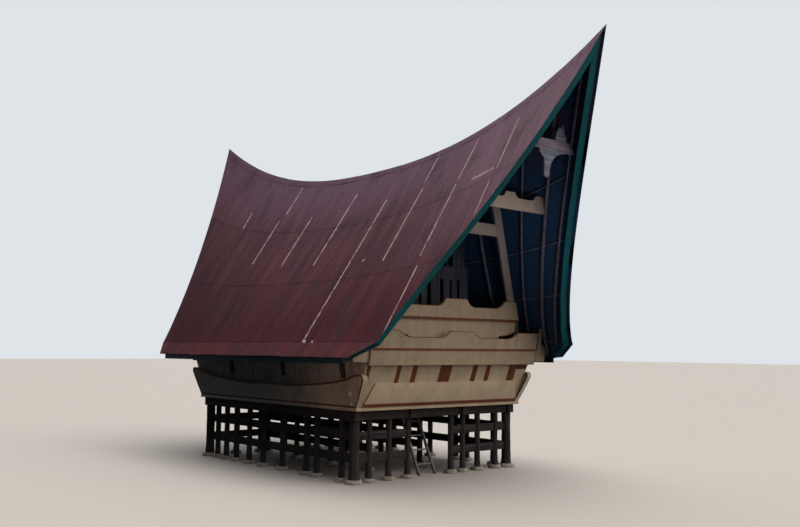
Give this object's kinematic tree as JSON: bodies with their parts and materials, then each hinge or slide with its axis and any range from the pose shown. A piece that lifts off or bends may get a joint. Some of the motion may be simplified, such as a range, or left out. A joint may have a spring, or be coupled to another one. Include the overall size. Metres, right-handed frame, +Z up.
{
  "type": "batak house",
  "caption": "Wooden house on posts with a high saddle roof of corrugated sheets, boat-shaped side boards, scalloped ledges across the gables and a ladder to a floor hatch.",
  "frame": {"origin": "on the ground, below the middle of the ridge", "axes": "+X to the right seen from the front, +Y along the ridge to the rear, +Z up; the front gable faces -Y"},
  "size_m": [7, 15.64, 9.7845],
  "materials": {
    "rusted_sheet": "rusted",
    "green_painted_wood": "painted, weathered",
    "cream_painted_wood": "painted, weathered",
    "weathered_wood": "bare, weathered",
    "dark_wood": "bare, dark with age"
  },
  "bodies": {
    "root": {"roof_left": "rusted_sheet", "roof_right": "rusted_sheet", "ridge_cap": "rusted_sheet", "roof_frame_left": "dark_wood", "roof_frame_right": "dark_wood", "ridge_pole": "dark_wood", "bargeboard_front_left": "green_painted_wood", "bargeboard_front_right": "green_painted_wood", "bargeboard_rear_left": "green_painted_wood", "bargeboard_rear_right": "green_painted_wood", "eave_board_left": "green_painted_wood", "eave_board_right": "green_painted_wood", "front_posts_left": "weathered_wood", "front_posts_right": "weathered_wood", "rear_posts": "weathered_wood", "side_posts_left": "weathered_wood", "side_posts_right": "weathered_wood", "inner_posts_left": "weathered_wood", "inner_posts_right": "weathered_wood", "floor_frame": "dark_wood", "floor_boards": "dark_wood", "sill_frame": "cream_painted_wood", "side_board_left": "cream_painted_wood", "side_board_right": "cream_painted_wood", "side_wall_left": "weathered_wood", "side_wall_right": "weathered_wood", "wall_plate_left": "cream_painted_wood", "wall_plate_right": "cream_painted_wood", "loft_frame": "dark_wood", "front_wall": "cream_painted_wood", "front_lower_board": "cream_painted_wood", "front_ledge_lower": "cream_painted_wood", "front_ledge_middle": "cream_painted_wood", "front_ledge_upper": "cream_painted_wood", "rear_wall": "cream_painted_wood", "rear_lower_board": "cream_painted_wood", "rear_ledge_lower": "cream_painted_wood", "rear_ledge_middle": "cream_painted_wood", "rear_ledge_upper": "cream_painted_wood", "front_gable_wall": "weathered_wood", "rear_gable_wall": "weathered_wood", "front_gable_leg_left": "cream_painted_wood", "front_gable_leg_right": "cream_painted_wood", "front_gable_tie": "cream_painted_wood", "front_head_beam": "dark_wood", "front_collar_tie": "cream_painted_wood", "rear_collar_tie": "cream_painted_wood", "front_upper_tie": "weathered_wood", "entry_ladder": "weathered_wood"}
  },
  "joints": []
}
